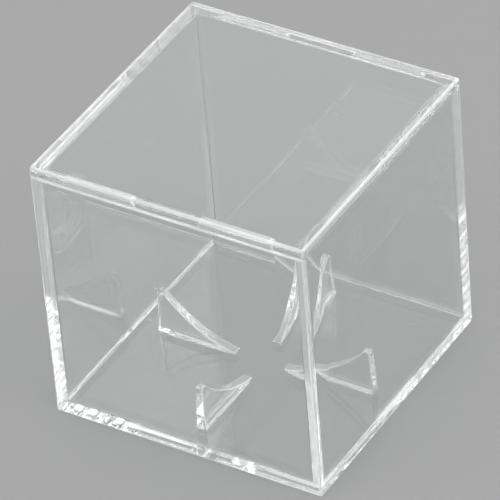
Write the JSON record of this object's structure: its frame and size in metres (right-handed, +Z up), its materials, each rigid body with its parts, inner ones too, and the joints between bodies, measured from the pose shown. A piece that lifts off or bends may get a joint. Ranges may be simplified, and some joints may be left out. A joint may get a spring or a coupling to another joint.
{
  "type": "acrylic display cube",
  "caption": "Clear acrylic cube for showing a ball: a base with two walls and a finned cradle, and a lift-off cover that closes the other sides.",
  "frame": {"origin": "middle of the underside, on the surface that the cube stands on", "axes": "+Z up; -Y is the front, a wall of the base; +X is the right, a wall of the lift-off cover"},
  "size_m": [0.084, 0.084, 0.0835],
  "materials": {
    "clear_acrylic": "polished"
  },
  "bodies": {
    "base": {"bottom_panel": "clear_acrylic", "front_wall": "clear_acrylic", "back_wall": "clear_acrylic", "front_cradle_fin": "clear_acrylic", "back_cradle_fin": "clear_acrylic", "left_cradle_fin": "clear_acrylic", "right_cradle_fin": "clear_acrylic"},
    "cover": {"top_panel": "clear_acrylic", "left_wall": "clear_acrylic", "right_wall": "clear_acrylic"}
  },
  "joints": [
    {"name": "cover_lift", "type": "slide", "parent": "base", "child": "cover", "axis": [0, 0, 1], "range_m": [0, 0.1]}
  ]
}
